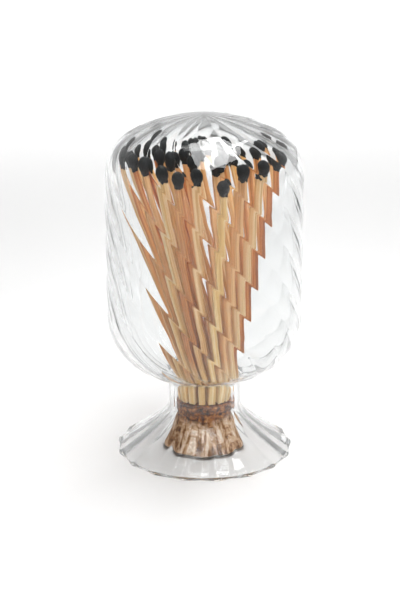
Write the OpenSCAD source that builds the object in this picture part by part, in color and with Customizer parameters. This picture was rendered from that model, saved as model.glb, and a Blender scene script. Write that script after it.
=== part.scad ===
// Match striker: a hand-blown glass dome on a hollow fluted foot, closed from below by a cork.
// Long wooden matches stand on the cork and fan out inside the dome, and the cork carries a striking pad.
// Millimetres, +Z up. The origin is the centre of the ring that the foot rests on.

/* [Glass outline] */
// Width of the bulb over its ribs
bulb_d = 82.5; // [80:0.5:92]
// Width of the foot over its scallops
foot_d = 75.6; // [66:0.2:88]
// Height of the flared foot
foot_h = 22; // [19:0.5:26]
// Height of the neck
neck_h = 12.7; // [11.5:0.1:16]
// Height of the rounded bowl above the neck
bowl_h = 28; // [24:0.5:34]
// Height of the dome above the straight wall
dome_h = 34.8; // [32:0.2:38]
// Radius of the shallow arc at the top of the dome
crown_r = 65; // [60:1:90]
// Width of the rounded shoulder between the arc and the wall
shoulder_w = 14.5; // [12:0.5:18]

/* [Glass wall] */
// Thickness of the bulb at the crest of a rib
bulb_t = 2.4; // [2:0.1:2.8]
// Thickness of the neck
neck_t = 2.3; // [2:0.1:2.8]
// Thickness of the foot
foot_t = 2.3; // [1.8:0.1:3]
// Thickness of the rounded rim under the foot
rim_t = 2.6; // [2.2:0.1:3.4]
// Radius of the corner where the bowl meets the neck
neck_fillet = 1.2; // [0.8:0.1:2]
// Radius of the rounded throat where the bowl runs into the bore
throat_r = 7; // [6:0.5:8]
// Room between the heads and the dome over them
headroom = 0.1; // [0.1:0.1:6]
// Room between the outer heads and the wall
side_room = 4; // [3.5:0.1:8]

/* [Ribs] */
// Number of ribs round the glass
rib_count = 17; // [12:1:20]
// Depth of the hollow between two ribs on the bulb
rib_depth = 0.45; // [0.3:0.05:0.8]
// Turn of the ribs for each millimetre of height, in degrees
rib_twist = 1.32; // [0:0.02:1.5]
// Depth of the ripple that is left on the neck
neck_ripple = 0.1; // [0.05:0.01:0.3]
// Depth of the hollows between the ribs at the rim of the foot
flute_depth = 0.4; // [0.2:0.05:0.8]

/* [Cork] */
// How far the cork reaches into the neck
cork_in = 1.6; // [1:0.1:3]
// Length of the cork's straight upper part
cork_plug_h = 8; // [6:0.5:12]
// How much the cork widens below its straight part, on each side
cork_flare = 3.6; // [0.6:0.1:4.5]
// Bevel round both ends of the cork
cork_bevel = 0.6; // [0.2:0.1:1]
// Rim of bare cork round the striking pad
pad_margin = 3; // [1:0.1:6]
// Thickness of the striking pad
pad_t = 0.8; // [0.4:0.1:1.5]
// Height of the pad above the surface that the foot rests on
pad_lift = 0.6; // [0.3:0.1:1.5]

/* [Matches] */
// Length of a match with its head
match_l = 111.4; // [100:0.2:130]
// Width of the square stick
stick_w = 2.8; // [2:0.1:3]
// Bevel along the edges of a stick
stick_bevel = 0.15; // [0.05:0.05:0.4]
// Width of a match head
head_d = 5.2; // [4.4:0.1:5.8]
// Length of a match head
head_h = 7.8; // [6.4:0.1:9]
// Length of stick that the head covers
dip_l = 5.8; // [3:0.1:6.3]
// Matches in the outer ring
outer_count = 17; // [8:1:17]
// Matches in the middle ring
middle_count = 10; // [5:1:10]
// Matches in the inner ring, round the one in the centre
inner_count = 5; // [3:1:5]
// Gap between neighbouring rings of sticks on the cork
ring_gap = 0.2; // [0.15:0.05:0.5]
// Turn of the fan from the cork to the heads, in degrees
fan_turn = 14; // [0:1:20]
// How far the heads gather on one side, in degrees
fan_gather = 22; // [0:1:24]
// Largest chance change of a match's length
length_play = 0.8; // [0:0.1:2]
// How much shorter the shortest match is
length_drop = 7; // [0:0.5:12]

/* [Hidden] */
// Running gap between the cork and the bore
cork_gap = 0.3;
// Gap between the outer sticks and the bore
bore_gap = 0.2;
// Gap between the cork and the ends of the matches
stand_gap = 0.12;
// Gap between a stick and the head round it
head_gap = 0.02;
// Samples from rib to rib, an even number so that the rib's sharp edge is one of them
rib_steps = 6;
// Turn of the whole swirl, in degrees
rib_turn = -6.7;
// How far the outline's handles reach towards the corners that they round
crown_reach = 0.93;
shoulder_reach = 0.76;
bowl_reach = 0.77;
bowl_neck_reach = 0.2;
foot_reach = 0.5;
// Where the foot's flare aims, as a width beyond the neck and a height
flare_out = 6;
flare_h = 12.6;
// Length over which the ribs fade out as the bowl narrows to the neck
rib_fade = 8;
// Angles of the rounded rim, where its underside is ground flat and where the flare starts
rim_low_angle = 60;
rim_high_angle = 75;
// Direction that the matches' heads gather towards
gather_az = 228;
// Largest chance turn of a stick about its own length, and of its place in the fan
roll_play = 4;
azimuth_play = 3.5;
radius_play = 0.8;
seed = 41;

bulb_r = bulb_d / 2;
foot_r = foot_d / 2;
rim_r = rim_t / 2;
neck_top = foot_h + neck_h;
wall_bottom = neck_top + bowl_h;
cork_z = pad_lift + pad_t;
cork_top = foot_h + cork_in;
stick_l = match_l - (head_h - dip_l);

// The rings of sticks on the cork, from the centre out
stick_room = stick_w * (cos(roll_play) + sin(roll_play));
inner_ring_r = stick_w / 2 * (1 + 1 / tan(180 / inner_count)) + ring_gap;
ring_r = [0, inner_ring_r, inner_ring_r + stick_room + ring_gap, inner_ring_r + 2 * (stick_room + ring_gap)];
fan_r = bulb_r - bulb_t - head_d / 2 - side_room;
lean = (fan_r - ring_r[3]) / stick_l;
// How far out and up the shoulders of the heads reach on each ring, from the centre out
head_out = [for (k = [0 : 3]) k / 3 * (fan_r + radius_play) + head_d / 2 * sqrt(0.5)];
head_up = [for (k = [0 : 3]) cork_top + (match_l + length_play) * cos(atan(k / 3 * lean))
    - head_h / 2 * (1 - sqrt(0.5))];

// The bore lets the outer sticks pass as they lean outwards
throat_z = neck_top + bulb_t - throat_r;
bore_r = ring_r[3] + lean * (throat_z - cork_top) + throat_r * (sqrt(1 + lean * lean) - 1)
    + stick_room / 2 + bore_gap;
neck_r = bore_r + neck_t;

function bezier(p, n) = [for (i = [0 : n]) let (t = i / n, s = 1 - t)
    s * s * s * p[0] + 3 * s * s * t * p[1] + 3 * s * t * t * p[2] + t * t * t * p[3]];
function arc(centre, r, from, to, n) = [for (i = [0 : n]) let (a = from + (to - from) * i / n)
    centre + r * [cos(a), sin(a)]];
function without_first(list) = [for (i = [1 : len(list) - 1]) list[i]];
function mix(a, b, t) = a + (b - a) * min(1, max(0, t));

// Outline of the dome from base up to the axis, for a wall that lies in by inset
function dome_outline(inset, base, n_shoulder, n_crown) =
    let (
        r = bulb_r - inset,
        top = base + dome_h - inset,
        arc_r = crown_r - inset,
        edge = asin((bulb_r - shoulder_w) / crown_r),
        start = [arc_r * sin(edge), top - arc_r + arc_r * cos(edge)],
        corner = [r, start.y - (r - start.x) * tan(edge)],
        foot = [r, base]
    )
    concat(
        bezier([foot, foot + shoulder_reach * (corner - foot), start + crown_reach * (corner - start), start],
            n_shoulder),
        without_first(arc([0, top - arc_r], arc_r, 90 - edge, 90, n_crown))
    );

// Outline of the bowl from the neck up to the wall, for a wall that lies in by inset
function bowl_outline(inset, start, n) =
    let (
        end = [bulb_r - inset, wall_bottom],
        corner = [end.x, start.y]
    )
    bezier([start, start + bowl_neck_reach * (corner - start), end + bowl_reach * (corner - end), end], n);

// Outline of the foot's flare from the rim up to the neck
function flare_outline(start, neck_radius, top, aim, n) =
    bezier([start, aim, [neck_radius, top - foot_reach * (top - aim.y)], [neck_radius, top]], n);

// Height inside the dome over its base, at a distance from the axis
inner_dome = dome_outline(bulb_t, 0, 14, 8);
function dome_room(r) = lookup(r, [for (p = inner_dome) [p.x, p.y]]);
wall_top = max([for (k = [0 : 3]) head_up[k] - dome_room(head_out[k])]) + headroom;
total_h = wall_top + dome_h;

rim_centre = [foot_r - rim_r, rim_r * sin(rim_low_angle)];
flare_aim = [neck_r + flare_out, flare_h];
fillet_centre = [neck_r + neck_fillet, neck_top - neck_fillet];

// The outer outline over the crests of the ribs, from the ground ring to just short of the apex
outer_outline = concat(
    arc(rim_centre, rim_r, -rim_low_angle, rim_high_angle, 4),
    without_first(flare_outline(rim_centre + [0, rim_r], neck_r, foot_h, flare_aim, 7)),
    arc(fillet_centre, neck_fillet, 180, 90, 2),
    without_first(bowl_outline(0, [neck_r + neck_fillet, neck_top], 9)),
    [for (i = [1 : 6]) [bulb_r, mix(wall_bottom, wall_top, i / 7)]],
    dome_outline(0, wall_top, 8, 5)
);

// The inner outline, from under the foot to the axis
foot_mouth = foot_r - rim_t + 0.2;
inner_outline = concat(
    [[0, -1], [foot_mouth, -1], [foot_mouth, 0]],
    flare_outline([foot_mouth - foot_t / 2, foot_t / 2], bore_r, foot_h - foot_t,
        flare_aim - foot_t * [0.6, 1], 10),
    arc([bore_r + throat_r, neck_top + bulb_t - throat_r], throat_r, 180, 90, 6),
    without_first(bowl_outline(bulb_t, [bore_r + throat_r, neck_top + bulb_t], 14)),
    [for (p = inner_dome) p + [0, wall_top]]
);

// Depth of the hollows between the ribs at a point of the outer outline
function hollow(p) =
    p.y > foot_h
        ? mix(neck_ripple, rib_depth * p.x / bulb_r, (p.x - neck_r) / rib_fade)
        : mix(neck_ripple, flute_depth, (p.x - neck_r) / (foot_r - neck_r));

// Outward normal of the outer outline at point i; on the ground ring it lies flat
function outline_normal(i) =
    i == 0
        ? [1, 0]
        : let (d = outer_outline[min(i + 1, len(outer_outline) - 1)] - outer_outline[i - 1]) [d.y, -d.x] / norm(d);

// One ring of points: the ribs turn with the height, down to the neck
function rib_ring(i) =
    let (
        p = outer_outline[i],
        n = outline_normal(i),
        turn = rib_turn + rib_twist * (total_h - max(p.y, neck_top)),
        steps = rib_count * rib_steps
    )
    [for (j = [0 : steps - 1]) let (
        across = j / rib_steps - round(j / rib_steps),
        q = p - hollow(p) * (1 - pow(2 * across, 2)) * n,
        a = 360 * j / steps + turn
    ) [q.x * cos(a), q.x * sin(a), q.y]];

module ribbed_body() {
    rings = len(outer_outline) - 1;
    steps = rib_count * rib_steps;
    points = concat([for (i = [0 : rings - 1]) each rib_ring(i)], [[0, 0, total_h]]);
    apex = rings * steps;
    faces = concat(
        [[for (j = [0 : steps - 1]) j]],
        [for (i = [0 : rings - 2], j = [0 : steps - 1]) let (a = i * steps + j, b = i * steps + (j + 1) % steps)
            each [[a, a + steps, b + steps], [a, b + steps, b]]],
        [for (j = [0 : steps - 1]) [apex - steps + j, apex, apex - steps + (j + 1) % steps]]
    );
    polyhedron(points, faces, convexity = 6);
}

module glass_cloche() {
    color([0.86, 0.91, 0.93, 0.35])
        difference() {
            ribbed_body();
            rotate_extrude($fn = 96) polygon(inner_outline);
        }
}

module cork_stopper() {
    top_r = bore_r - cork_gap;
    bottom_r = top_r + cork_flare;
    color([0.66, 0.45, 0.33])
        rotate_extrude($fn = 72) polygon([
            [0, cork_z],
            [bottom_r - cork_bevel, cork_z],
            [bottom_r, cork_z + cork_bevel],
            [top_r, cork_top - cork_plug_h],
            [top_r, cork_top - cork_bevel],
            [top_r - cork_bevel, cork_top],
            [0, cork_top]
        ]);
}

module striker_pad() {
    color([0.25, 0.16, 0.13])
        translate([0, 0, pad_lift])
            cylinder(r = bore_r - cork_gap + cork_flare - pad_margin, h = pad_t, $fn = 72);
}

// Chance values for a match, each from -1 to 1: drop, radius, azimuth, roll and length
function play(ring, i) = rands(-1, 1, 5, seed + 100 * ring + i);

// How a match stands: its foot on the cork, its head's place, its length and its roll
function match_pose(ring, count, i) =
    let (
        chance = play(ring, i),
        az = 360 * (i + ring / 2) / count,
        foot_at = ring_r[ring],
        spread = az + fan_turn - fan_gather * sin(az - gather_az) + azimuth_play * chance[2],
        head_at = ring / 3 * (fan_r + radius_play * chance[1]),
        long = stick_l + length_play * chance[4] - length_drop * pow(chance[0], 4),
        aim = head_at * [cos(spread), sin(spread)] - foot_at * [cos(az), sin(az)],
        tilt = asin(norm(aim) / long)
    )
    [foot_at * [cos(az), sin(az)], atan2(aim.y, aim.x), tilt, long, az + roll_play * chance[3]];

// Puts a match that is modelled upright at the origin into its place
module stand(pose) {
    lift = stand_gap + stick_w * sin(pose[2]) * sqrt(0.5);
    translate([pose[0].x, pose[0].y, cork_top + lift])
        rotate([0, pose[2], pose[1]])
            rotate([0, 0, pose[4] - pose[1]])
                children();
}

module stick(pose) {
    half = stick_w / 2;
    cut = half - stick_bevel;
    color([0.87, 0.68, 0.42])
        stand(pose)
            linear_extrude(height = pose[3])
                polygon([[half, -cut], [half, cut], [cut, half], [-cut, half],
                    [-half, cut], [-half, -cut], [-cut, -half], [cut, -half]]);
}

// Outline of a head: a blunt egg, widest a little above its middle
function head_outline(n) = [for (i = [0 : n]) let (a = -90 + 180 * i / n)
    [head_d / 2 * cos(a) * (1 + 0.12 * sin(a)), head_h / 2 * (1 + sin(a))]];

module head(pose) {
    pocket = stick_w + 2 * head_gap;
    color([0.13, 0.14, 0.15])
        stand(pose)
            translate([0, 0, pose[3] - dip_l])
                difference() {
                    rotate_extrude($fn = 32) polygon(head_outline(12));
                    translate([-pocket / 2, -pocket / 2, -1]) cube([pocket, pocket, dip_l + head_gap + 1]);
                }
}

// Every match that has nodes of its own, as [ring, matches in the ring, place in the ring]
single_matches = concat(
    [for (i = [0 : outer_count - 1]) [3, outer_count, i]],
    [for (i = [0 : middle_count - 1]) [2, middle_count, i]]
);
// The matches that stand behind the others and share a node
inner_matches = concat([for (i = [0 : inner_count - 1]) [1, inner_count, i]], [[0, 1, 0]]);

function match_name(i) = str("match_", i < 9 ? "0" : "", i + 1);
function pose_of(m) = match_pose(m[0], m[1], m[2]);

cork_stopper();
striker_pad();
for (m = inner_matches) stick(pose_of(m));  // inner_match_sticks
for (m = inner_matches) head(pose_of(m));  // inner_match_heads
for (i = [0 : len(single_matches) - 1]) {
    stick(pose_of(single_matches[i]));
    head(pose_of(single_matches[i]));
}
glass_cloche();
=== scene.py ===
"""Dresses a match striker: a swirl-ribbed glass dome on a foot, its cork, striking pad and matches."""
import math

import bmesh
import bpy
import numpy as np
from bpy.props import FloatProperty, FloatVectorProperty, IntProperty, PointerProperty
from bpy.types import Operator, Panel, PropertyGroup
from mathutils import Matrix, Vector, kdtree, noise


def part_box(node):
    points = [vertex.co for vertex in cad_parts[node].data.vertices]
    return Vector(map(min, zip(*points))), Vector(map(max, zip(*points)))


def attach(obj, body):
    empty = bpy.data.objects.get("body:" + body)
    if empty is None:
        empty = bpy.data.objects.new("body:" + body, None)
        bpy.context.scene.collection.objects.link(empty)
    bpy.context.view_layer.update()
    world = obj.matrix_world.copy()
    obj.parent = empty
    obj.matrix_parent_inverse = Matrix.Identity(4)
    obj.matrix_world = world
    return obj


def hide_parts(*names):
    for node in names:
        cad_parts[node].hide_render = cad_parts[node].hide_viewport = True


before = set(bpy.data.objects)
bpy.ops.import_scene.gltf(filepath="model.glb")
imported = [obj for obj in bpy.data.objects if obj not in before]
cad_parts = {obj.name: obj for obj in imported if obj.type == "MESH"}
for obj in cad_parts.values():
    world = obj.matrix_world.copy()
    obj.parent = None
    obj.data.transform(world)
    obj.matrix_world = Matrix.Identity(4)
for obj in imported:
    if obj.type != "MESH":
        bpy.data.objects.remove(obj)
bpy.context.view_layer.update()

bl_info = {
    "name": "Match striker",
    "version": (1, 0, 0),
    "blender": (4, 5, 0),
    "location": "View3D > Sidebar > Match striker",
    "description": "Dresses a glass match striker with its ribs, cork, striking pad and matches",
    "category": "Object",
}

MM = 0.001
GLASS_NODE, CORK_NODE, PAD_NODE = "glass_cloche", "cork_stopper", "striker_pad"
INNER_MATCHES = "inner_match"
GLASS_BODY, CORK_BODY = "glass", "cork"
# The picture's longer side in pixels, and a camera sensor's width, both for the lens
PICTURE_H = 600
SENSOR_W = 36
# Points nearer than this are one point
MERGE_GAP = 0.002 * MM


# Small tools for meshes

def deselect():
    bpy.ops.object.select_all(action="DESELECT")


def points_of(mesh):
    """The mesh's vertices as an array of rows."""
    flat = np.empty(len(mesh.vertices) * 3)
    mesh.vertices.foreach_get("co", flat)
    return flat.reshape(-1, 3)


def move_points(mesh, points):
    mesh.vertices.foreach_set("co", points.ravel())
    mesh.update()


def chance_at(points, grain, seed):
    """Smooth chance values from about -1 to 1 at each point, with bumps about grain metres apart."""
    shift = Vector((seed * 7.31, seed * 3.17, seed * 5.77))
    return np.array([noise.noise(Vector(p) / grain + shift) for p in points])


def edit(piece):
    deselect()
    bpy.context.view_layer.objects.active = piece
    piece.select_set(True)
    bpy.ops.object.mode_set(mode="EDIT")


def select_edges(piece, wanted):
    """In edit mode, selects just the edges for which wanted(first corner, second corner) is true."""
    bpy.ops.mesh.select_mode(type="EDGE")
    shape = bmesh.from_edit_mesh(piece.data)
    for part in (*shape.faces, *shape.edges, *shape.verts):
        part.select = False
    for edge in shape.edges:
        edge.select = wanted(*(v.co for v in edge.verts))
    shape.select_flush_mode()
    bmesh.update_edit_mesh(piece.data)


def named(name):
    """The object that the last operator added, under its own name."""
    piece = bpy.context.view_layer.objects.active
    piece.name = piece.data.name = name
    return piece


def spun(name, outline, columns):
    """Turns an outline of (distance from the axis, height) points into a closed solid round Z."""
    deselect()
    start = Vector((outline[0][0], 0, outline[0][1]))
    bpy.ops.mesh.primitive_plane_add(size=MM, location=start)
    piece = named(name)
    bpy.ops.object.transform_apply(location=True, rotation=True, scale=True)
    edit(piece)
    bpy.ops.mesh.select_mode(type="VERT")
    bpy.ops.mesh.select_all(action="SELECT")
    bpy.ops.mesh.merge(type="CENTER")
    for here, there in zip(outline, outline[1:]):
        step = (there[0] - here[0], 0, there[1] - here[1])
        bpy.ops.mesh.extrude_region_move(TRANSFORM_OT_translate={"value": step})
    bpy.ops.mesh.select_all(action="SELECT")
    bpy.ops.mesh.spin(steps=columns, angle=math.tau, center=(0, 0, 0), axis=(0, 0, 1), use_auto_merge=True)
    bpy.ops.mesh.select_all(action="SELECT")
    bpy.ops.mesh.remove_doubles(threshold=MERGE_GAP)
    bpy.ops.mesh.delete_loose(use_verts=True, use_edges=True, use_faces=False)
    bpy.ops.mesh.select_all(action="SELECT")
    bpy.ops.mesh.normals_make_consistent(inside=False)
    bpy.ops.object.mode_set(mode="OBJECT")
    return piece


def dress(piece, body, material, slot, *nodes):
    """Gives a finished piece its material and its body, and hides the CAD nodes that it stands for; slot is
    not used.
    """
    piece.data.materials.clear()
    piece.data.materials.append(material)
    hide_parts(*nodes)
    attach(piece, body)


def smooth(piece, angle=None):
    deselect()
    bpy.context.view_layer.objects.active = piece
    piece.select_set(True)
    if angle is None:
        bpy.ops.object.shade_smooth()
    else:
        bpy.ops.object.shade_smooth_by_angle(angle=angle)


# Small tools for materials

def linear(code):
    """A colour socket's value for an sRGB hex code."""
    shares = [int(code[i:i + 2], 16) / 255 for i in (1, 3, 5)]
    return [*(s / 12.92 if s <= 0.04045 else ((s + 0.055) / 1.055) ** 2.4 for s in shares), 1]


def add(tree, kind, inputs=None, **settings):
    """Adds a node with its settings; inputs holds a value or another node's output for each socket."""
    made = tree.nodes.new(kind)
    for key, value in settings.items():
        setattr(made, key, value)
    for key, value in (inputs or {}).items():
        if isinstance(value, bpy.types.NodeSocket):
            tree.links.new(value, made.inputs[key])
        else:
            made.inputs[key].default_value = value
    return made


def ramp(tree, factor, stops):
    """A colour ramp over factor, with (place, colour) stops; a colour is a hex code or a setting."""
    made = add(tree, "ShaderNodeValToRGB", {"Fac": factor})
    while len(made.color_ramp.elements) < len(stops):
        made.color_ramp.elements.new(0.5)
    for element, (place, colour) in zip(made.color_ramp.elements, stops):
        element.position = place
        element.color = linear(colour) if isinstance(colour, str) else (*colour, 1)
    return made.outputs["Color"]


def new_material(name):
    made = bpy.data.materials.new(name)
    made.use_nodes = True
    made.node_tree.nodes.clear()
    return made, made.node_tree


# Sizes and colours that a user would change

class GlassSettings(PropertyGroup):
    foot_height: FloatProperty(name="Foot height", description="Height of the flared foot",
                               default=22 * MM, unit="LENGTH", subtype="DISTANCE")
    neck_height: FloatProperty(name="Neck height", description="Height of the neck over the foot",
                               default=12.7 * MM, unit="LENGTH", subtype="DISTANCE")
    bowl_height: FloatProperty(name="Bowl height", description="Height of the rounded bowl over the neck",
                               default=28 * MM, unit="LENGTH", subtype="DISTANCE")
    dome_height: FloatProperty(name="Dome height", description="Height of the dome over the straight wall",
                               default=34.8 * MM, unit="LENGTH", subtype="DISTANCE")
    crown_radius: FloatProperty(name="Crown radius", description="Radius of the arc at the top of the dome",
                                default=65 * MM, unit="LENGTH", subtype="DISTANCE")
    shoulder_width: FloatProperty(name="Shoulder width", description="Width of the shoulder round the arc",
                                  default=14.5 * MM, unit="LENGTH", subtype="DISTANCE")
    bulb_wall: FloatProperty(name="Bulb wall", description="Thickness of the bulb at the crest of a rib",
                             default=2.4 * MM, unit="LENGTH", subtype="DISTANCE")
    neck_wall: FloatProperty(name="Neck wall", description="Thickness of the neck",
                             default=2.3 * MM, unit="LENGTH", subtype="DISTANCE")
    foot_wall: FloatProperty(name="Foot wall", description="Thickness of the foot",
                             default=2.3 * MM, unit="LENGTH", subtype="DISTANCE")
    rim_wall: FloatProperty(name="Rim wall", description="Thickness of the rounded rim under the foot",
                            default=2.6 * MM, unit="LENGTH", subtype="DISTANCE")
    neck_fillet: FloatProperty(name="Neck fillet", description="Radius of the corner under the bowl",
                               default=1.2 * MM, unit="LENGTH", subtype="DISTANCE")
    throat_radius: FloatProperty(name="Throat radius", description="Radius where the bowl runs into the bore",
                                 default=7 * MM, unit="LENGTH", subtype="DISTANCE")
    rib_count: IntProperty(name="Ribs", description="Number of ribs round the glass", default=17, min=8)
    rib_depth: FloatProperty(name="Rib depth", description="Depth of the hollow between two ribs",
                             default=0.45 * MM, unit="LENGTH", subtype="DISTANCE")
    rib_twist: FloatProperty(name="Rib twist", description="Turn of the ribs for each metre of height",
                             default=math.radians(1.32) / MM, unit="ROTATION", subtype="ANGLE")
    rib_turn: FloatProperty(name="Rib turn", description="Turn of the whole swirl round the glass",
                            default=math.radians(-6.7), unit="ROTATION", subtype="ANGLE")
    neck_ripple: FloatProperty(name="Neck ripple", description="Depth of the ripple left on the neck",
                               default=0.1 * MM, unit="LENGTH", subtype="DISTANCE")
    flute_depth: FloatProperty(name="Flute depth", description="Depth of the hollows at the foot's rim",
                               default=1.1 * MM, unit="LENGTH", subtype="DISTANCE")
    waviness: FloatProperty(name="Waviness", description="Unevenness of the hand-blown wall",
                            default=0.05 * MM, unit="LENGTH", subtype="DISTANCE")
    tint: FloatVectorProperty(name="Tint", description="Colour that the glass gives to what shows through it",
                              default=linear("#F8F9F9")[:3], subtype="COLOR")


class MatchSettings(PropertyGroup):
    pale_wood: FloatVectorProperty(name="Pale wood", description="Colour of the palest fibres",
                                   default=linear("#F8E4B6")[:3], subtype="COLOR")
    head_grain: FloatProperty(name="Head grain", description="Height of the lumps on a match head",
                              default=0.22 * MM, unit="LENGTH", subtype="DISTANCE")
    dip_line: FloatProperty(name="Dip line", description="Unevenness of the line that the head was dipped to",
                            default=0.7 * MM, unit="LENGTH", subtype="DISTANCE")
    bow: FloatProperty(name="Bow", description="How far a long stick bends out of true",
                       default=0.12 * MM, unit="LENGTH", subtype="DISTANCE")


class CorkSettings(PropertyGroup):
    pit_depth: FloatProperty(name="Pit depth", description="Depth of the pits in the cork's side",
                             default=0.9 * MM, unit="LENGTH", subtype="DISTANCE")
    grit: FloatProperty(name="Grit", description="Height of the grit on the striking pad",
                        default=0.12 * MM, unit="LENGTH", subtype="DISTANCE")


class StageSettings(PropertyGroup):
    camera_distance: FloatProperty(name="Camera distance",
                                   description="Distance of the camera along the floor",
                                   default=638.3 * MM, unit="LENGTH", subtype="DISTANCE")
    camera_height: FloatProperty(name="Camera height", description="Height of the camera over the floor",
                                 default=277.5 * MM, unit="LENGTH", subtype="DISTANCE")
    aim_height: FloatProperty(name="Aim height", description="Height that the camera looks at",
                              default=73.65 * MM, unit="LENGTH", subtype="DISTANCE")
    focal_px: FloatProperty(name="Focal length", description="Focal length in pixels of the picture",
                            default=1588)
    floor_tone: FloatVectorProperty(name="Floor", description="Colour of the matt floor",
                                    default=linear("#D6D6D6")[:3], subtype="COLOR")
    lamp_height: FloatProperty(name="Lamp height", description="Height of the soft box over the floor",
                               default=400 * MM, unit="LENGTH", subtype="DISTANCE")
    lamp_power: FloatProperty(name="Lamp power", description="Power of the soft box in watts", default=1.1)
    fill_power: FloatProperty(name="Fill power", description="Power of the fill light in watts", default=2.5)
    far_power: FloatProperty(name="Far power", description="Power of each lamp over the far floor in watts",
                             default=14)
    far_height: FloatProperty(name="Far height", description="Height of the lamps over the far floor",
                              default=1500 * MM, unit="LENGTH", subtype="DISTANCE")


# The glass

def bezier(points, count):
    p0, p1, p2, p3 = (np.array(p) for p in points)
    return [tuple((1 - t) ** 3 * p0 + 3 * (1 - t) ** 2 * t * p1 + 3 * (1 - t) * t * t * p2 + t ** 3 * p3)
            for t in np.linspace(0, 1, count + 1)]


def arc(centre, radius, start, end, count):
    return [(centre[0] + radius * math.cos(math.radians(a)), centre[1] + radius * math.sin(math.radians(a)))
            for a in np.linspace(start, end, count + 1)]


def toward(a, b, share):
    return tuple(np.array(a) + share * (np.array(b) - np.array(a)))


# The outline's shares are those of the frame: how far each handle reaches towards its corner
SHOULDER_REACH, CROWN_REACH = 0.76, 0.93
BOWL_NECK_REACH, BOWL_REACH = 0.2, 0.77
FOOT_REACH = 0.5
# Where the foot's flare aims: how far out from the neck, and how high
FLARE_OUT, FLARE_HEIGHT = 6 * MM, 12.6 * MM
# Angles of the rounded rim, where it is ground flat and where the flare starts
RIM_LOW, RIM_HIGH = 60, 75
# How far inside the outer surface the flare's own aim lies, as a share of the wall
FLARE_INSET = 0.6
# Width of the flat ring that the foot rests on, less than the rim's own
RING_LOSS = 0.2 * MM
# Length over which the ribs fade out as the bowl narrows to the neck
RIB_FADE = 8 * MM
# How fast the ribs fade out towards the top of the dome
CROWN_FADE = 1.5


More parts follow.
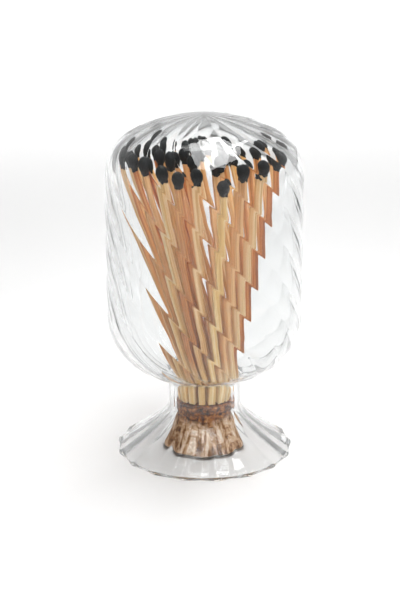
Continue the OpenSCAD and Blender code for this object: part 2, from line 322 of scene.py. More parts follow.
class GlassForm:
    """The outline of the glass, with the depth of its hollows, worked out from its sizes and the frame."""

    def __init__(self, sizes):
        self.sizes = sizes
        glass = points_of(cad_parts[GLASS_NODE].data)
        reach = np.hypot(glass[:, 0], glass[:, 1])
        self.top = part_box(GLASS_NODE)[1].z
        self.bulb_r = reach[glass[:, 2] > sizes.foot_height + sizes.neck_height].max()
        self.foot_r = reach[glass[:, 2] < sizes.foot_height].max()
        self.neck_top = sizes.foot_height + sizes.neck_height
        self.bore_r = reach[(glass[:, 2] > sizes.foot_height) & (glass[:, 2] < self.neck_top)].min()
        self.neck_r = self.bore_r + sizes.neck_wall
        self.wall_low = self.neck_top + sizes.bowl_height
        self.wall_high = self.top - sizes.dome_height
        self.rim_r = sizes.rim_wall / 2
        self.rim_centre = (self.foot_r - self.rim_r, self.rim_r * math.sin(math.radians(RIM_LOW)))
        self.flare_aim = (self.neck_r + FLARE_OUT, FLARE_HEIGHT)

    def dome(self, inset, shoulder_count, crown_count):
        s = self.sizes
        r = self.bulb_r - inset
        edge = math.degrees(math.asin((self.bulb_r - s.shoulder_width) / s.crown_radius))
        arc_r = s.crown_radius - inset
        centre = (0, self.top - inset - arc_r)
        start = arc(centre, arc_r, 90 - edge, 90, 1)[0]
        corner = (r, start[1] - (r - start[0]) * math.tan(math.radians(edge)))
        base = (r, self.wall_high)
        handles = toward(base, corner, SHOULDER_REACH), toward(start, corner, CROWN_REACH)
        shoulder = bezier([base, *handles, start], shoulder_count)
        return shoulder + arc(centre, arc_r, 90 - edge, 90, crown_count)[1:]

    def bowl(self, inset, start, count):
        end = (self.bulb_r - inset, self.wall_low)
        corner = (end[0], start[1])
        handles = toward(start, corner, BOWL_NECK_REACH), toward(end, corner, BOWL_REACH)
        return bezier([start, *handles, end], count)

    def flare(self, start, radius, top, aim, count):
        return bezier([start, aim, (radius, top - FOOT_REACH * (top - aim[1])), (radius, top)], count)

    def outer(self):
        """The outer outline over the ribs, from the ground ring up to the axis."""
        s = self.sizes
        fillet = (self.neck_r + s.neck_fillet, self.neck_top - s.neck_fillet)
        rim_top = (self.rim_centre[0], self.rim_centre[1] + self.rim_r)
        wall = [(self.bulb_r, h) for h in np.linspace(self.wall_low, self.wall_high, 24)[1:-1]]
        return (arc(self.rim_centre, self.rim_r, -RIM_LOW, RIM_HIGH, 9)
                + self.flare(rim_top, self.neck_r, s.foot_height, self.flare_aim, 26)[1:]
                + [(self.neck_r, h) for h in np.linspace(s.foot_height, fillet[1], 6)[1:-1]]
                + arc(fillet, s.neck_fillet, 180, 90, 5)
                + self.bowl(0, (fillet[0], self.neck_top), 28)[1:]
                + wall + self.dome(0, 30, 14))

    def inner(self):
        """The inner outline, from the axis down to the mouth under the foot."""
        s = self.sizes
        mouth = self.foot_r - s.rim_wall + RING_LOSS
        start = (mouth - s.foot_wall / 2, s.foot_wall / 2)
        aim = (self.flare_aim[0] - FLARE_INSET * s.foot_wall, self.flare_aim[1] - s.foot_wall)
        throat = (self.bore_r + s.throat_radius, self.neck_top + s.bulb_wall - s.throat_radius)
        up = ([(mouth, 0)] + self.flare(start, self.bore_r, s.foot_height - s.foot_wall, aim, 22)
              + [(self.bore_r, h) for h in np.linspace(s.foot_height - s.foot_wall, throat[1], 6)[1:-1]]
              + arc(throat, s.throat_radius, 180, 90, 10)
              + self.bowl(s.bulb_wall, (throat[0], throat[1] + s.throat_radius), 22)[1:]
              + [(self.bulb_r - s.bulb_wall, h) for h in np.linspace(self.wall_low, self.wall_high, 10)[1:-1]]
              + self.dome(s.bulb_wall, 22, 10))
        return up[::-1]

    def hollow(self, r, z):
        """Depth of the hollows between the ribs at a point of the outer outline."""
        s = self.sizes
        if z > self.wall_high:
            # The ribs fade away where they meet on top
            share, deep = 1, s.rib_depth * (r / self.bulb_r) ** CROWN_FADE
        elif z > s.foot_height:
            share, deep = (r - self.neck_r) / RIB_FADE, s.rib_depth * r / self.bulb_r
        else:
            share, deep = (r - self.neck_r) / (self.foot_r - self.neck_r), s.flute_depth
        return s.neck_ripple + (deep - s.neck_ripple) * min(1, max(0, share))


# Samples from rib to rib, and how closely they gather at the rib
RIB_STEPS = 16
GATHER = 0.6
# Share of the way from rib to rib over which a rib's edge is rounded, on the bulb and on the foot
RIB_SOFT = 0.012
FLUTE_SOFT = 0.07
# Distance between the waves in the hand-blown wall
WAVE_GRAIN = 9 * MM


def dip_of(turn, soft):
    """How deep the hollow is, from 0 on a rib to 1 midway, by turn, the hollows passed so far."""
    from_rib = 0.5 - np.abs(turn - np.round(turn))
    from_rib = np.sqrt(from_rib ** 2 + soft ** 2) - soft
    return 1 - (1 - 2 * from_rib) ** 2


def press_hollows(piece, form, outer, inner):
    """Presses swirled hollows into the spun glass, and adds the hand-blown unevenness."""
    sizes = form.sizes
    outline = outer + inner
    d = np.gradient(np.array(outer), axis=0)
    normals = np.stack([d[:, 1], -d[:, 0]], axis=1)
    normals /= np.linalg.norm(normals, axis=1)[:, None]
    normals[0] = (1, 0)
    depths = np.array([form.hollow(*p) for p in outer])
    depths[-1] = 0
    tree = kdtree.KDTree(len(outline))
    for i, p in enumerate(outline):
        tree.insert((p[0], p[1], 0), i)
    tree.balance()
    points = points_of(piece.data)
    reach = np.hypot(points[:, 0], points[:, 1])
    turn = np.arctan2(points[:, 1], points[:, 0]) / math.tau * sizes.rib_count
    place = np.array([tree.find((r, z, 0))[1] for r, z in zip(reach, points[:, 2])])
    outside = place < len(outer)
    at = np.where(outside, place, 0)
    turn = np.where(outside, turn + GATHER * np.sin(math.tau * turn) / math.tau, turn)
    soft = np.where(points[:, 2] > sizes.foot_height, RIB_SOFT, FLUTE_SOFT)
    pressed = np.where(outside, depths[at] * dip_of(turn, soft), 0)
    drop = form.top - np.maximum(points[:, 2], form.neck_top)
    # Both surfaces turn alike, so that the ring between them stays flat and untwisted
    angle = math.tau * turn / sizes.rib_count + sizes.rib_twist * drop + sizes.rib_turn
    r = reach - pressed * normals[at, 0]
    z = points[:, 2] - pressed * normals[at, 1]
    bulb = np.clip((reach - form.neck_r) / RIB_FADE, 0, 1) * (points[:, 2] > sizes.foot_height)
    r += bulb * sizes.waviness * chance_at(points, WAVE_GRAIN, 3)
    move_points(piece.data, np.stack([r * np.cos(angle), r * np.sin(angle), z], axis=1))


def blown_glass(tint):
    """Soda-lime glass, fire-polished: clear, with a faint grey where the eye looks along the wall."""
    material, tree = new_material("fire_polished_soda_lime_glass")
    body = add(tree, "ShaderNodeBsdfPrincipled", {
        "Base Color": (*tint, 1), "Roughness": 0.0, "IOR": 1.52, "Transmission Weight": 1.0})
    # Lamps and soft light reach what is inside through the clear wall
    path = add(tree, "ShaderNodeLightPath")
    through = add(tree, "ShaderNodeMath", {
        0: path.outputs["Is Shadow Ray"], 1: path.outputs["Is Diffuse Ray"]}, operation="MAXIMUM")
    clear = add(tree, "ShaderNodeBsdfTransparent", {"Color": linear("#FCFCFC")})
    mix = add(tree, "ShaderNodeMixShader", {
        0: through.outputs[0], 1: body.outputs["BSDF"], 2: clear.outputs["BSDF"]})
    add(tree, "ShaderNodeOutputMaterial", {"Surface": mix.outputs["Shader"]})
    return material


class STRIKER_OT_glass(Operator):
    """Adds the blown glass: dome, swirled ribs, neck and fluted foot in one piece"""
    bl_idname = "striker.glass"
    bl_label = "Blown glass"

    def execute(self, context):
        form = GlassForm(context.scene.striker_glass)
        outer, inner = form.outer(), form.inner()
        piece = spun("blown_glass", outer + inner + outer[:1], form.sizes.rib_count * RIB_STEPS)
        press_hollows(piece, form, outer, inner)
        smooth(piece)
        dress(piece, GLASS_BODY, blown_glass(form.sizes.tint), "clear_glass", GLASS_NODE)
        return {"FINISHED"}


# The matches

def solids_of(node):
    """The corner points of each separate solid in a CAD node."""
    shape = bmesh.new()
    shape.from_mesh(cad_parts[node].data)
    bmesh.ops.remove_doubles(shape, verts=shape.verts, dist=MERGE_GAP / 2)
    found, seen = [], set()
    for first in shape.verts:
        if first in seen:
            continue
        group, todo = [], [first]
        seen.add(first)
        while todo:
            v = todo.pop()
            group.append(v.co[:])
            for other in (e.other_vert(v) for e in v.link_edges):
                if other not in seen:
                    seen.add(other)
                    todo.append(other)
        found.append(np.array(group))
    shape.free()
    return found


class Match:
    """Where one match stands, read from its stick and head in the frame."""

    def __init__(self, stick, head):
        centre = stick.mean(0)
        axis = np.linalg.svd(stick - centre)[2][0]
        axis *= np.sign(axis[2])
        along = (stick - centre) @ axis
        foot, end = stick[along < 0], stick[along > 0]
        self.base = foot.mean(0)
        self.length = float(np.linalg.norm(end.mean(0) - self.base))
        side = np.cross([0, 1, 0], axis)
        side /= np.linalg.norm(side)
        other = np.cross(axis, side)
        corners = foot - self.base
        # Four like corners: their angles times four point one way
        spin = np.exp(4j * np.arctan2(corners @ other, corners @ side)).mean()
        roll = (np.angle(spin) - math.pi) / 4
        x = math.cos(roll) * side + math.sin(roll) * other
        y = np.cross(axis, x)
        self.frame = np.array([x, y, axis])
        self.width = 2 * float(np.abs(corners @ x).max())
        up = (head - self.base) @ axis
        self.head_low, self.head_high = float(up.min()), float(up.max())
        out = head - self.base - np.outer(up, axis)
        self.head_r = float(np.linalg.norm(out, axis=1).max())

    def placed(self, points):
        """Points of an upright match at the origin, where this match stands."""
        return points @ self.frame + self.base


def matches():
    """Each match in the frame with its names: (name, Match, stick node, head node)."""
    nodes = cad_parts
    singles = sorted(n[:-len("_stick")] for n in nodes if n.startswith("match_") and n.endswith("_stick"))
    found = [(m, Match(solids_of(m + "_stick")[0], solids_of(m + "_head")[0]), m + "_stick", m + "_head")
             for m in singles]
    heads = solids_of(INNER_MATCHES + "_heads")
    for i, stick in enumerate(solids_of(INNER_MATCHES + "_sticks")):
        top = stick[stick[:, 2] > stick[:, 2].mean()].mean(0)
        head = min(heads, key=lambda h: np.linalg.norm(h.mean(0) - top))
        found.append((f"{INNER_MATCHES}_{i + 1}", Match(stick, head), INNER_MATCHES + "_sticks",
                      INNER_MATCHES + "_heads"))
    return found


# Rings of points along a stick
STICK_RINGS = 36
STICK_BEVEL = 0.16 * MM


def stick_pattern(width, length):
    """One upright square stick, its long edges bevelled, cut into rings along its length."""
    deselect()
    bpy.ops.mesh.primitive_cube_add(size=1, location=(0, 0, 0.5))
    piece = named("stick_pattern")
    bpy.ops.object.transform_apply(location=True, rotation=True, scale=True)
    edit(piece)
    bpy.ops.mesh.select_all(action="SELECT")
    bpy.ops.transform.resize(value=(width, width, length), center_override=(0, 0, 0))
    select_edges(piece, lambda a, b: abs(a.z - b.z) > length / 2)
    bpy.ops.mesh.subdivide(number_cuts=STICK_RINGS)
    select_edges(piece, lambda a, b: (a.xy - b.xy).length < width / 100)
    bpy.ops.mesh.bevel(offset=STICK_BEVEL, segments=2, affect="EDGES")
    bpy.ops.mesh.select_all(action="SELECT")
    bpy.ops.mesh.normals_make_consistent(inside=False)
    bpy.ops.object.mode_set(mode="OBJECT")
    return piece


def head_pattern():
    """One upright ball of unit radius, from which each match head is shaped."""
    deselect()
    bpy.ops.mesh.primitive_uv_sphere_add(segments=40, ring_count=30, radius=1)
    return named("head_pattern")


def copy_of(pattern, name):
    deselect()
    bpy.context.view_layer.objects.active = pattern
    pattern.select_set(True)
    bpy.ops.object.duplicate(linked=False)
    return named(name)


def mark(piece, name, kind, values):
    """Stores values on the piece's points under a name that its material reads."""
    layer = piece.data.attributes.new(name, kind, "POINT")
    layer.data.foreach_set("vector" if kind == "FLOAT_VECTOR" else "value", np.asarray(values).ravel())


def whittle(piece, match, seed, sizes):
    """Fits a copy of the stick to its match: its length, its slight bow and a slight unevenness of its width,
    and marks where its fibres and tone come from.
    """
    points = points_of(piece.data)
    z = points[:, 2]
    share = z / z.max()
    points[:, 2] = share * match.length
    upright = points.copy()
    bend = sizes.bow * np.sin(math.pi * share)
    turn = seed * 2.4
    points[:, 0] += bend * math.cos(turn)
    points[:, 1] += bend * math.sin(turn)
    points[:, :2] *= 1 + 0.012 * chance_at(points * [1, 1, 0.12], 1.4 * MM, seed)[:, None]
    move_points(piece.data, match.placed(points))
    mark(piece, "grain_place", "FLOAT_VECTOR", upright + [seed * 0.031, seed * 0.017, 0])
    tone = (seed * 0.618) % 1
    mark(piece, "wood_tone", "FLOAT", np.full(len(points), tone))


# How much the head's egg widens towards its top, and the widest that this makes it
EGG_TAPER, EGG_WIDEST = 0.12, 1.007
# How far the stick's rounded corner reaches, in half widths, and the thickness of the coat on the stick
CORNER_REACH, COAT = 1.36, 0.14 * MM


def dip(piece, match, seed, sizes):
    """Shapes a copy of the head: an egg that thins down on to its square stick along an uneven line."""
    unit = points_of(piece.data)
    height = match.head_high - match.head_low
    rise = unit[:, 2]
    round_ = np.sqrt(np.maximum(0, 1 - rise ** 2))
    around = np.arctan2(unit[:, 1], unit[:, 0])
    egg = match.head_r * round_ * (1 + EGG_TAPER * rise) / EGG_WIDEST
    half = match.width / 2
    square = half / np.maximum(np.abs(np.cos(around)), np.abs(np.sin(around)))
    square = np.minimum(square, half * CORNER_REACH) + COAT
    low = rise < 0
    skin = np.where(low & (round_ > 0.1), np.maximum(egg, square * np.clip(round_ * 4, 0, 1)), egg)
    z = match.head_low + height * (1 + rise) / 2
    cast = np.stack([np.cos(around), np.sin(around), np.zeros_like(around)], axis=1)
    line = chance_at(cast * 1.6 * MM, 1 * MM, seed + 50)
    z += sizes.dip_line * line * np.clip(-rise, 0, 1)
    points = np.stack([skin * np.cos(around), skin * np.sin(around), z], axis=1)
    lumps = chance_at(points, 1.7 * MM, seed) + 0.45 * chance_at(points, 0.6 * MM, seed + 9)
    centre = np.array([0, 0, match.head_low + 0.55 * height])
    out = points - centre
    out /= np.maximum(np.linalg.norm(out, axis=1), MM / 100)[:, None]
    points += out * (sizes.head_grain * lumps)[:, None]
    move_points(piece.data, match.placed(points))


def split_poplar(palest):
    """Split poplar for matches: matt and pale straw to tan, with fine fibres along the stick, and painted
    shade: a darker, warmer orange-brown up the stick.
    """
    material, tree = new_material("split_poplar")
    place = add(tree, "ShaderNodeAttribute", attribute_name="grain_place")
    tone = add(tree, "ShaderNodeAttribute", attribute_name="wood_tone")
    # Fibres 0.3 mm wide that run on for about 15 mm
    fibres = add(tree, "ShaderNodeMapping", {
        "Vector": place.outputs["Vector"], "Scale": (1 / (0.6 * MM), 1 / (0.6 * MM), 1 / (30 * MM))})
    fine = add(tree, "ShaderNodeTexNoise", {"Vector": fibres.outputs["Vector"], "Scale": 1.0, "Detail": 4.0})
    # Growth rings about 1.5 mm apart
    rings = add(tree, "ShaderNodeMapping", {
        "Vector": place.outputs["Vector"], "Scale": (1 / (2.2 * MM), 1 / (2.2 * MM), 1 / (120 * MM))})
    broad = add(tree, "ShaderNodeTexNoise", {"Vector": rings.outputs["Vector"], "Scale": 1.0, "Detail": 2.0})
    blend = add(tree, "ShaderNodeMath", {
        0: fine.outputs["Fac"], 1: 0.5, 2: broad.outputs["Fac"]}, operation="MULTIPLY_ADD")
    pale = ramp(tree, blend.outputs[0], [(0.45, "#B4783A"), (0.68, "#E6BC74"), (0.9, palest)])
    # Partly real warmer wood, partly painted shade: the darkest browns of this ramp stand in for the shade
    # between the sticks.
    warm_and_shaded_wood = ramp(tree, blend.outputs[0], [(0.5, "#6A2604"), (0.74, "#BE661C"), (0.95, "#E49E52")])
    # Painted shade and warm bounce light from between the packed sticks: on sticks whose random tone is warm,
    # the wood turns darker orange-brown up the stick; it stops short of the foot, which stays pale.
    along = add(tree, "ShaderNodeSeparateXYZ", {"Vector": place.outputs["Vector"]})
    painted_shade_rise = add(tree, "ShaderNodeMapRange", {
        "Value": along.outputs["Z"], "From Min": 9 * MM, "From Max": 22 * MM, "To Min": 0.1, "To Max": 1.0})
    painted_shade_share = add(tree, "ShaderNodeMath", {
        0: tone.outputs["Fac"], 1: painted_shade_rise.outputs["Result"]}, operation="MULTIPLY")
    wood = add(tree, "ShaderNodeMix", {
        "Factor": painted_shade_share.outputs[0], "A": pale, "B": warm_and_shaded_wood}, data_type="RGBA")
    bump = add(tree, "ShaderNodeBump", {
        "Height": fine.outputs["Fac"], "Strength": 0.6, "Distance": 0.15 * MM})
    body = add(tree, "ShaderNodeBsdfPrincipled", {
        "Base Color": wood.outputs["Result"], "Roughness": 0.72, "Normal": bump.outputs["Normal"]})
    add(tree, "ShaderNodeOutputMaterial", {"Surface": body.outputs["BSDF"]})
    return material


def match_compound():
    """Dipped match compound: matt black with a blue cast, gritty, with a few brighter specks."""
    material, tree = new_material("black_match_compound")
    place = add(tree, "ShaderNodeTexCoord")
    grit = add(tree, "ShaderNodeTexNoise", {
        "Vector": place.outputs["Object"], "Scale": 1 / (0.5 * MM), "Detail": 3.0})
    patches = add(tree, "ShaderNodeTexNoise", {
        "Vector": place.outputs["Object"], "Scale": 1 / (2.5 * MM), "Detail": 2.0})
    tone = add(tree, "ShaderNodeMath", {
        0: grit.outputs["Fac"], 1: patches.outputs["Fac"]}, operation="MULTIPLY")
    colour = ramp(tree, tone.outputs[0], [(0.12, "#030404"), (0.3, "#0B0D0E"), (0.5, "#202427")])
    rough = add(tree, "ShaderNodeMapRange", {
        "Value": grit.outputs["Fac"], "From Min": 0.3, "From Max": 0.7, "To Min": 0.42, "To Max": 0.75})
    bump = add(tree, "ShaderNodeBump", {
        "Height": grit.outputs["Fac"], "Strength": 0.7, "Distance": 0.2 * MM})
    body = add(tree, "ShaderNodeBsdfPrincipled", {
        "Base Color": colour, "Roughness": rough.outputs["Result"], "Specular IOR Level": 0.2,
        "Normal": bump.outputs["Normal"]})
    add(tree, "ShaderNodeOutputMaterial", {"Surface": body.outputs["BSDF"]})
    return material


class STRIKER_OT_matches(Operator):
    """Adds the matches, each a whittled stick and a dipped head"""
    bl_idname = "striker.matches"
    bl_label = "Matches"

    def execute(self, context):
        sizes = context.scene.striker_matches
        found = matches()
        wood, compound = split_poplar(sizes.pale_wood), match_compound()
        stick = stick_pattern(found[0][1].width, found[0][1].length)
        head = head_pattern()
        for seed, (name, match, stick_node, head_node) in enumerate(found, 1):
            piece = copy_of(stick, name + "_wood")
            whittle(piece, match, seed, sizes)
            smooth(piece, math.radians(35))
            dress(piece, GLASS_BODY, wood, "match_wood", stick_node)
            piece = copy_of(head, name + "_tip")
            dip(piece, match, seed, sizes)
            smooth(piece)
            dress(piece, GLASS_BODY, compound, "match_head", head_node)
        for pattern in (stick, head):
            bpy.data.objects.remove(pattern)
        return {"FINISHED"}


# The cork and its striking pad

CORK_COLUMNS = 300
# Radius of the cork's worn corners
CORK_CORNER = 0.9 * MM


def cork_outline():
    """The cork's outline as in the frame, with its corners rounded and cut into short steps."""
    low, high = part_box(CORK_NODE)
    cork = points_of(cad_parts[CORK_NODE].data)
    reach = np.hypot(cork[:, 0], cork[:, 1])
    bottom_r = reach.max()
    top_r = reach[cork[:, 2] > high.z - 4 * MM].max()
    plug = cork[(reach > top_r - 0.05 * MM) & (reach < top_r + 0.05 * MM), 2].min()
    corner = CORK_CORNER
    side = [(bottom_r, low.z + corner), (top_r, plug), (top_r, high.z - corner)]
    flare = [toward(side[0], side[1], t) for t in np.linspace(0, 1, 60)]
    straight = [toward(side[1], side[2], t) for t in np.linspace(0, 1, 32)[1:]]
    under = [(r, low.z) for r in np.linspace(0, bottom_r - corner, 24)]
    over = [(r, high.z) for r in np.linspace(top_r - corner, 0, 20)]
    return (under + arc((bottom_r - corner, low.z + corner), corner, -90, -10, 5)[1:] + flare + straight
            + arc((top_r - corner, high.z - corner), corner, 10, 90, 4)[:-1] + over)


def pit_cork(piece, depth):
    """Sinks pores, cracks and the unevenness of bark into the cork, never outwards past its size."""
    low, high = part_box(CORK_NODE)
    points = points_of(piece.data)
    reach = np.hypot(points[:, 0], points[:, 1])
    inward = np.stack([-points[:, 0], -points[:, 1], np.zeros(len(points))], axis=1)
    inward /= np.maximum(reach, MM)[:, None]
    # Waves 5 mm long, pores 1.5 mm apart and grain of 0.8 mm, the first two flattened by the bark's growth
    flat = points * [1, 1, 2.2]
    waves = 0.5 + 0.5 * chance_at(flat, 5 * MM, 11)
    pores = np.clip(chance_at(flat, 1.5 * MM, 12) - 0.22, 0, 1) * 2.2
    grain = 0.5 + 0.5 * chance_at(points, 0.8 * MM, 13)
    sink = depth * (0.35 * waves + 0.55 * pores + 0.12 * grain)
    middle = (low.z + high.z) / 2
    side = np.clip(reach / (4 * MM), 0, 1)
    points += inward * (sink * side)[:, None]
    ends = np.abs(points[:, 2] - middle) > (high.z - low.z) / 2 - 0.01 * MM
    points[:, 2] += np.where(ends, np.sign(middle - points[:, 2]) * sink * 0.5, 0)
    move_points(piece.data, points)


def bark_cork():
    """Natural cork with its bark side out: dull tan, darker and redder in its pores and near its top."""
    material, tree = new_material("natural_bark_cork")
    place = add(tree, "ShaderNodeTexCoord")
    # Speckles of about 1 mm and patches of about 6 mm
    speck = add(tree, "ShaderNodeTexNoise", {
        "Vector": place.outputs["Object"], "Scale": 1 / (1.6 * MM), "Detail": 6.0, "Roughness": 0.7})
    patch = add(tree, "ShaderNodeTexNoise", {
        "Vector": place.outputs["Object"], "Scale": 1 / (9 * MM), "Detail": 3.0})
    # Streaks 1 mm wide that run up the side, as the bark grew
    stretched = add(tree, "ShaderNodeMapping", {
        "Vector": place.outputs["Object"], "Scale": (1 / (2 * MM), 1 / (2 * MM), 1 / (24 * MM))})
    streak = add(tree, "ShaderNodeTexNoise", {
        "Vector": stretched.outputs["Vector"], "Scale": 1.0, "Detail": 4.0})
    mixed = add(tree, "ShaderNodeMix", {0: 0.6, 2: speck.outputs["Fac"], 3: streak.outputs["Fac"]})
    tan = ramp(tree, mixed.outputs[0], [
        (0.38, "#482408"), (0.45, "#94643A"), (0.52, "#D4AE88"), (0.62, "#F4E4D2")])
    bark = ramp(tree, speck.outputs["Fac"], [
        (0.34, "#160802"), (0.46, "#542808"), (0.56, "#9E5A1C"), (0.7, "#D69C58")])
    # The darker bark lies round the top, down to an uneven line
    height = add(tree, "ShaderNodeSeparateXYZ", {"Vector": place.outputs["Object"]})
    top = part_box(CORK_NODE)[1].z
    uneven = add(tree, "ShaderNodeMath", {
        0: patch.outputs["Fac"], 1: 14 * MM, 2: height.outputs["Z"]}, operation="MULTIPLY_ADD")
    band = add(tree, "ShaderNodeMapRange", {
        "Value": uneven.outputs[0], "From Min": top - 4 * MM, "From Max": top + 2 * MM})
    colour = add(tree, "ShaderNodeMix", {
        "Factor": band.outputs["Result"], "A": tan, "B": bark}, data_type="RGBA")
    bump = add(tree, "ShaderNodeBump", {
        "Height": speck.outputs["Fac"], "Strength": 0.8, "Distance": 0.4 * MM})
    body = add(tree, "ShaderNodeBsdfPrincipled", {
        "Base Color": colour.outputs["Result"], "Roughness": 0.85, "Normal": bump.outputs["Normal"]})
    add(tree, "ShaderNodeOutputMaterial", {"Surface": body.outputs["BSDF"]})
    return material


def striking_coat():
    """Striking coat on card: dark red-brown grit of phosphorus and powdered glass in glue."""
    material, tree = new_material("striking_coat")
    place = add(tree, "ShaderNodeTexCoord")
    grit = add(tree, "ShaderNodeTexNoise", {
        "Vector": place.outputs["Object"], "Scale": 1 / (0.4 * MM), "Detail": 4.0})
    colour = ramp(tree, grit.outputs["Fac"], [(0.35, "#1E0F0B"), (0.55, "#3B2119"), (0.75, "#6B463A")])
    bump = add(tree, "ShaderNodeBump", {
        "Height": grit.outputs["Fac"], "Strength": 0.8, "Distance": 0.15 * MM})
    body = add(tree, "ShaderNodeBsdfPrincipled", {
        "Base Color": colour, "Roughness": 0.8, "Normal": bump.outputs["Normal"]})
    add(tree, "ShaderNodeOutputMaterial", {"Surface": body.outputs["BSDF"]})
    return material


class STRIKER_OT_cork(Operator):
    """Adds the cork stopper with its pores and bark"""
    bl_idname = "striker.cork"
    bl_label = "Cork stopper"

    def execute(self, context):
        piece = spun("bark_cork", cork_outline(), CORK_COLUMNS)
        pit_cork(piece, context.scene.striker_cork.pit_depth)
        smooth(piece)
        dress(piece, CORK_BODY, bark_cork(), "cork", CORK_NODE)
        return {"FINISHED"}


class STRIKER_OT_pad(Operator):
    """Adds the gritty striking pad under the cork"""
    bl_idname = "striker.pad"
    bl_label = "Striking pad"

    def execute(self, context):
        low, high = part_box(PAD_NODE)
        radius, corner = high.x, 0.15 * MM
        under = [(r, low.z) for r in np.linspace(0, radius - corner, 60)]
        edge = arc((radius - corner, low.z + corner), corner, -90, 0, 3)[1:]
        piece = spun("striking_card", under + edge + [(radius, high.z), (0, high.z)], 240)
        points = points_of(piece.data)
        face = points[:, 2] < low.z + 0.01 * MM
        lift = np.clip(0.3 + chance_at(points, 0.45 * MM, 5), 0, 1)
        points[:, 2] += np.where(face, context.scene.striker_cork.grit * lift, 0)
        move_points(piece.data, points)
        smooth(piece, math.radians(50))
        dress(piece, CORK_BODY, striking_coat(), "striking_paper", PAD_NODE)
        return {"FINISHED"}


# The stage

# Where the picture's centre lies from the lens's axis, in pixels
PICTURE_SHIFT = (-4.5, -15.2)
# Metres: the floor's side, the nearest and furthest that the camera sees, and where the near lamps hang
FLOOR_SIZE = 12
NEAREST, FURTHEST = 0.01, 50
LAMP_X, LAMP_Y = 0.035, -0.025
# Width and depth of the near lamps in metres
SOFT_BOX_SIZE = (0.14, 0.34)
FILL_SIZE = (0.22, 0.45)
# The most bounces that light makes, as it crosses the ribbed wall many times
LIGHT_BOUNCES = 24
# The lamps over the far floor, from the back round to the left: where each starts from the axis
FAR_STARTS = [start * MM for start in (500, 1000, 700, 1000, 700, 1000, 700, 1000)]
# Their size and the width of their beam
FAR_LENGTH, FAR_WIDTH = 2200 * MM, 1200 * MM
FAR_SPREAD = math.radians(56)


def soft_box(name, place, width, depth, power):
    """A rectangular soft box that faces straight down."""
    deselect()
    bpy.ops.object.light_add(type="AREA", location=place)
    lamp = bpy.context.view_layer.objects.active
    lamp.name = lamp.data.name = name
    lamp.data.shape = "RECTANGLE"
    lamp.data.size, lamp.data.size_y = width, depth
    lamp.data.energy = power
    return lamp


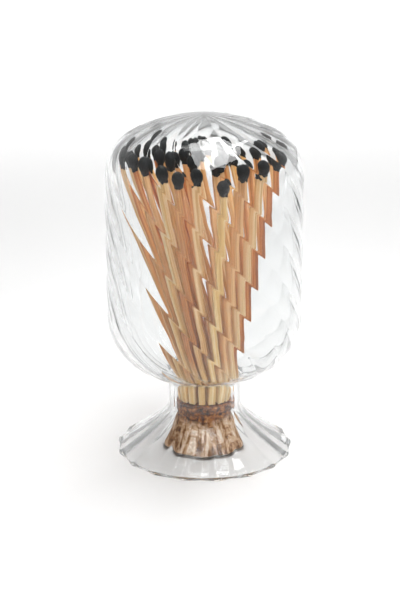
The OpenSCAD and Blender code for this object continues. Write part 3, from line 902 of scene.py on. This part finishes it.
class STRIKER_OT_stage(Operator):
    """Adds the pale floor, the soft light and the camera"""
    bl_idname = "striker.stage"
    bl_label = "Floor, light and camera"

    def execute(self, context):
        stage = context.scene.striker_stage
        deselect()
        bpy.ops.mesh.primitive_plane_add(size=FLOOR_SIZE, location=(0, 0, 0))
        floor = named("floor")
        material, tree = new_material("matt_paper_floor")
        body = add(tree, "ShaderNodeBsdfPrincipled", {
            "Base Color": (*stage.floor_tone, 1), "Roughness": 0.9, "Specular IOR Level": 0.1})
        add(tree, "ShaderNodeOutputMaterial", {"Surface": body.outputs["BSDF"]})
        floor.data.materials.append(material)

        # Hung low, so that the floor dims to the sides and the ribs' edges show dark
        place = (LAMP_X, LAMP_Y, stage.lamp_height)
        soft_box("soft_box", place, *SOFT_BOX_SIZE, stage.lamp_power)
        # The fill lights the floor and the matches, without a second patch on the dome
        fill = soft_box("fill_box", place, *FILL_SIZE, stage.fill_power)
        fill.visible_glossy = fill.visible_transmission = False
        # Beams narrowed to the far floor, which leave the glass alone
        for step, start in enumerate(FAR_STARTS):
            angle = math.tau * step / len(FAR_STARTS)
            middle = start + FAR_LENGTH / 2
            place = (-middle * math.sin(angle), middle * math.cos(angle), stage.far_height)
            far = soft_box(f"far_soft_box_{step + 1}", place, FAR_WIDTH, FAR_LENGTH, stage.far_power)
            far.data.spread = FAR_SPREAD
            far.rotation_euler.z = angle

        world = bpy.data.worlds.new("studio")
        context.scene.world = world
        world.use_nodes = True
        tree = world.node_tree
        tree.nodes.clear()
        place = add(tree, "ShaderNodeTexCoord")
        height = add(tree, "ShaderNodeSeparateXYZ", {"Vector": place.outputs["Generated"]})
        # A studio room: pale walls that darken towards the ceiling
        sky = ramp(tree, height.outputs["Z"], [
            (0.0, "#C8C8C8"), (0.3, "#B4B4B4"), (0.55, "#828282"), (1.0, "#646464")])
        light = add(tree, "ShaderNodeBackground", {"Color": sky, "Strength": 1.0})
        add(tree, "ShaderNodeOutputWorld", {"Surface": light.outputs["Background"]})

        bpy.ops.object.camera_add(location=(0, -stage.camera_distance, stage.camera_height))
        camera = context.object
        camera.name = "camera"
        aim = Vector((0, 0, stage.aim_height))
        camera.rotation_euler = (aim - camera.location).to_track_quat("-Z", "Y").to_euler()
        camera.data.lens = stage.focal_px / PICTURE_H * SENSOR_W
        camera.data.sensor_width = SENSOR_W
        camera.data.shift_x = PICTURE_SHIFT[0] / PICTURE_H
        camera.data.shift_y = PICTURE_SHIFT[1] / PICTURE_H
        camera.data.clip_start, camera.data.clip_end = NEAREST, FURTHEST
        context.scene.camera = camera

        context.scene.view_settings.view_transform = "Standard"
        cycles = context.scene.cycles
        cycles.max_bounces = cycles.transmission_bounces = LIGHT_BOUNCES
        cycles.glossy_bounces = cycles.transparent_max_bounces = LIGHT_BOUNCES
        cycles.caustics_reflective = cycles.caustics_refractive = False
        return {"FINISHED"}


class STRIKER_PT_panel(Panel):
    """Lists the steps that dress the match striker"""
    bl_idname = "STRIKER_PT_panel"
    bl_label = "Match striker"
    bl_space_type = "VIEW_3D"
    bl_region_type = "UI"
    bl_category = "Match striker"

    def draw(self, context):
        for group, steps in GROUPS.items():
            box = self.layout.box()
            settings = getattr(context.scene, group)
            for key in settings.__annotations__:
                box.prop(settings, key)
            for step in steps:
                box.operator(step.bl_idname)


GROUPS = {
    "striker_glass": (STRIKER_OT_glass,),
    "striker_matches": (STRIKER_OT_matches,),
    "striker_cork": (STRIKER_OT_cork, STRIKER_OT_pad),
    "striker_stage": (STRIKER_OT_stage,),
}
SETTINGS = {"striker_glass": GlassSettings, "striker_matches": MatchSettings,
            "striker_cork": CorkSettings, "striker_stage": StageSettings}
CLASSES = (*SETTINGS.values(), *(step for steps in GROUPS.values() for step in steps), STRIKER_PT_panel)


def register():
    for kind in CLASSES:
        bpy.utils.register_class(kind)
    for key, kind in SETTINGS.items():
        setattr(bpy.types.Scene, key, PointerProperty(type=kind))


def unregister():
    for key in SETTINGS:
        delattr(bpy.types.Scene, key)
    for kind in reversed(CLASSES):
        bpy.utils.unregister_class(kind)


def main():
    register()
    bpy.ops.striker.glass()
    bpy.ops.striker.matches()
    bpy.ops.striker.cork()
    bpy.ops.striker.pad()
    bpy.ops.striker.stage()


if __name__ == "__main__":
    main()
